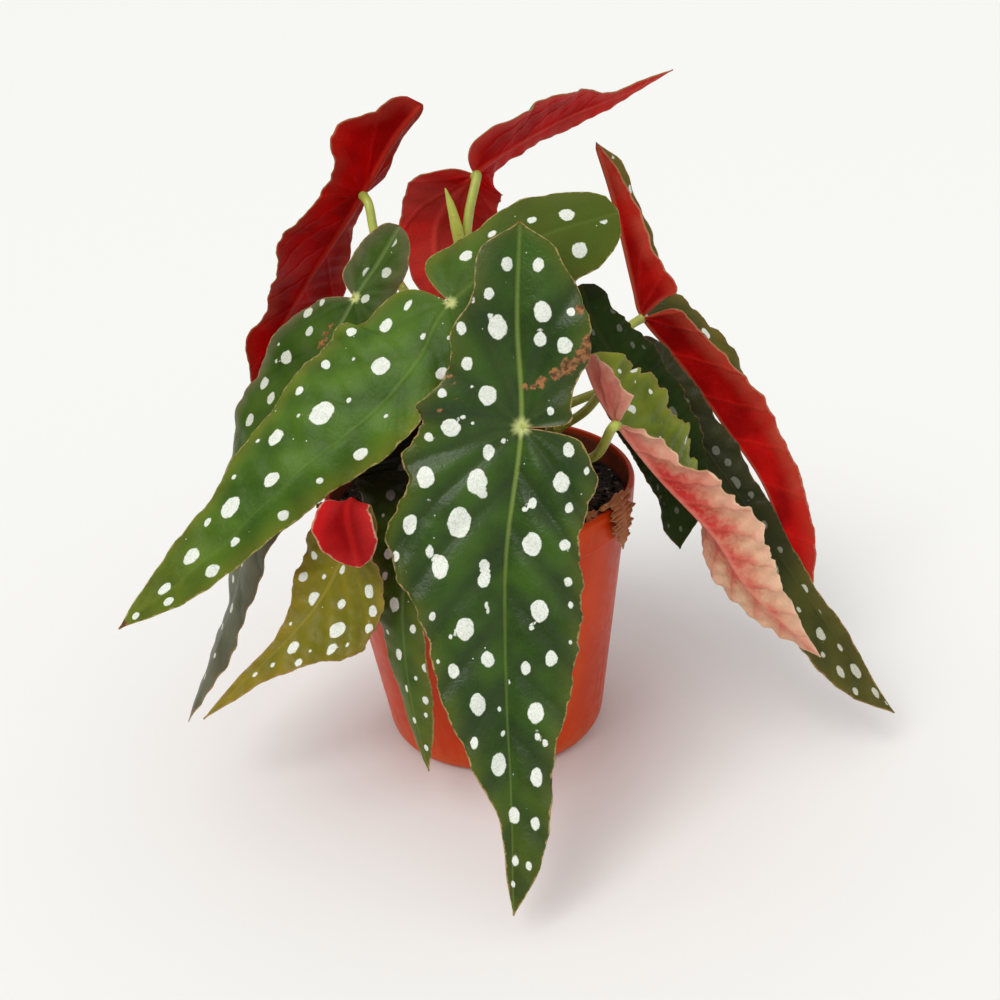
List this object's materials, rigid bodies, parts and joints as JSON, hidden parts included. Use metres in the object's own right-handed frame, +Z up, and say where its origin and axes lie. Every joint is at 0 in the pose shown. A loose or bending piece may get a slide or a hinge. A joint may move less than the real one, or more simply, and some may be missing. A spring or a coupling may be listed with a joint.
{
  "type": "potted begonia",
  "caption": "House plant in a tapered round plastic pot: leafy stems carry long, pointed, lopsided leaves with waved edges and pale spots, which hang outward over the rim.",
  "frame": {"origin": "centre of the pot's flat underside, at the height of the surface it stands on", "axes": "+Z up along the pot's axis, -Y towards the front of the plant, where the largest leaf hangs, +X to the right as seen from the front"},
  "size_m": [0.2766, 0.2022, 0.2459],
  "materials": {
    "pot": "satin terracotta-orange plastic",
    "soil": "matt crumbly potting soil",
    "stem": "smooth green stem",
    "leaf": "satin, with silvery spots above and dark red beneath",
    "young_leaf": "satin, pink beneath and lime green above",
    "litter": "matt, dry and crumpled"
  },
  "bodies": {
    "root": {"pot": "pot", "soil": "soil", "stem_tall": "stem", "stem_left": "stem", "stem_right": "stem", "leaf_front": "leaf", "leaf_left": "leaf", "leaf_back_left": "leaf", "leaf_left_behind": "leaf", "leaf_top": "leaf", "leaf_back_right": "leaf", "leaf_low_left": "leaf", "leaf_narrow_front": "leaf", "leaf_dark_right": "leaf", "leaf_right": "leaf", "leaf_young_right": "young_leaf", "dry_litter": "litter"}
  },
  "joints": []
}
